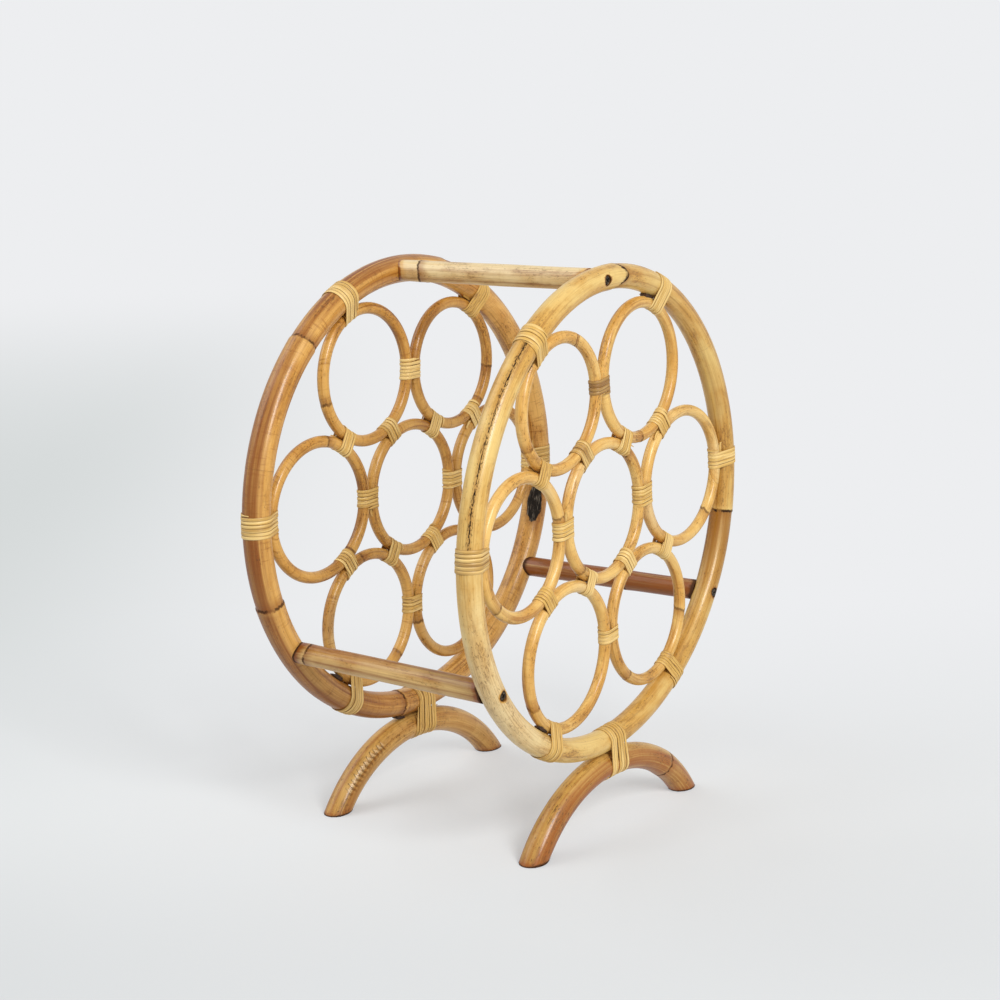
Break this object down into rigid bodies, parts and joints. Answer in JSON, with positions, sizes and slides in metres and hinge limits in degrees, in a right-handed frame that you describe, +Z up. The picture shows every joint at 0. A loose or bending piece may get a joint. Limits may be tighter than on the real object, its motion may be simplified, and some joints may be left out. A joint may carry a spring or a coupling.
{
  "type": "cane wine rack",
  "caption": "Free-standing bottle rack of bent cane: two large hoops filled with bound rings, straight struts between them and an arched foot under each.",
  "frame": {"origin": "on the floor, under the middle of the rack, midway between the two hoops", "axes": "+Z up; +X across the front from left to right; +Y from the front hoop to the back hoop"},
  "size_m": [0.3776, 0.2186, 0.4188],
  "materials": {
    "hoop_cane_front": "satin varnished pale straw cane",
    "hoop_cane_back": "satin varnished orange-brown cane",
    "ring_cane": "satin varnished thin orange-tan cane",
    "strut_cane": "satin varnished brown cane, with steel screws in its ends",
    "foot_cane": "satin varnished brown cane, scorched at its bends",
    "peel": "flat split cane peel, pale and slightly glossy"
  },
  "bodies": {
    "root": {"hoop_front": "hoop_cane_front", "ring_front_centre": "ring_cane", "ring_front_right": "ring_cane", "ring_front_upper_right": "ring_cane", "ring_front_upper_left": "ring_cane", "ring_front_left": "ring_cane", "ring_front_lower_left": "ring_cane", "ring_front_lower_right": "ring_cane", "centre_tie_front_right": "peel", "centre_tie_front_upper_right": "peel", "centre_tie_front_upper_left": "peel", "centre_tie_front_left": "peel", "centre_tie_front_lower_left": "peel", "centre_tie_front_lower_right": "peel", "rim_tie_front_right_high": "peel", "rim_tie_front_top": "peel", "rim_tie_front_left_high": "peel", "rim_tie_front_left_low": "peel", "rim_tie_front_bottom": "peel", "rim_tie_front_right_low": "peel", "hoop_tie_front_right": "peel", "hoop_tie_front_upper_right": "peel", "hoop_tie_front_upper_left": "peel", "hoop_tie_front_left": "peel", "hoop_tie_front_lower_left": "peel", "hoop_tie_front_lower_right": "peel", "foot_front": "foot_cane", "foot_tie_front": "peel", "hoop_back": "hoop_cane_back", "ring_back_centre": "ring_cane", "ring_back_right": "ring_cane", "ring_back_upper_right": "ring_cane", "ring_back_upper_left": "ring_cane", "ring_back_left": "ring_cane", "ring_back_lower_left": "ring_cane", "ring_back_lower_right": "ring_cane", "centre_tie_back_right": "peel", "centre_tie_back_upper_right": "peel", "centre_tie_back_upper_left": "peel", "centre_tie_back_left": "peel", "centre_tie_back_lower_left": "peel", "centre_tie_back_lower_right": "peel", "rim_tie_back_right_high": "peel", "rim_tie_back_top": "peel", "rim_tie_back_left_high": "peel", "rim_tie_back_left_low": "peel", "rim_tie_back_bottom": "peel", "rim_tie_back_right_low": "peel", "hoop_tie_back_right": "peel", "hoop_tie_back_upper_right": "peel", "hoop_tie_back_upper_left": "peel", "hoop_tie_back_left": "peel", "hoop_tie_back_lower_left": "peel", "hoop_tie_back_lower_right": "peel", "foot_back": "foot_cane", "foot_tie_back": "peel", "strut_top": "strut_cane", "strut_left": "strut_cane", "strut_right": "strut_cane"}
  },
  "joints": []
}
